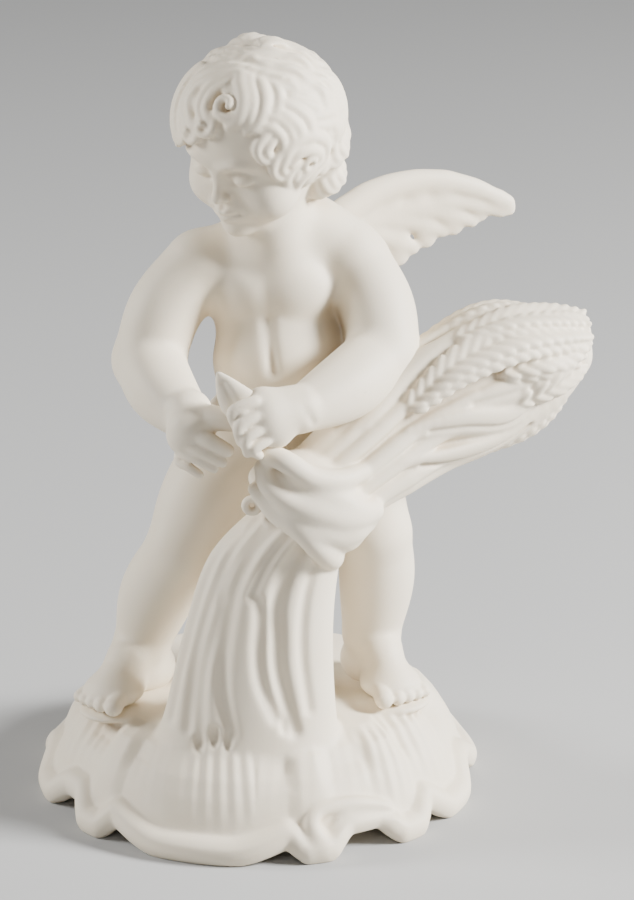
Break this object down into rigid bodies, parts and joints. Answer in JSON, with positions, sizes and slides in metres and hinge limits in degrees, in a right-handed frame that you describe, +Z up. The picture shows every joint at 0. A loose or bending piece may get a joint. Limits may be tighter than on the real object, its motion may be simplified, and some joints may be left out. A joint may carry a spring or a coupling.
{
  "type": "cherub figurine",
  "caption": "Bisque porcelain figurine of a winged child tying a sheaf of wheat, on a round mound with a scalloped rim.",
  "frame": {"origin": "on the table, below the middle of the round mound, in the flat underside", "axes": "+Z up, -Y the way the child's body faces, +X towards the child's own left, where the sheaf points"},
  "size_m": [0.1136, 0.1011, 0.1579],
  "materials": {
    "bisque_porcelain": "unglazed biscuit porcelain, warm white, matt, very fine even grain"
  },
  "bodies": {
    "root": {"cherub_figurine": "bisque_porcelain"}
  },
  "joints": []
}
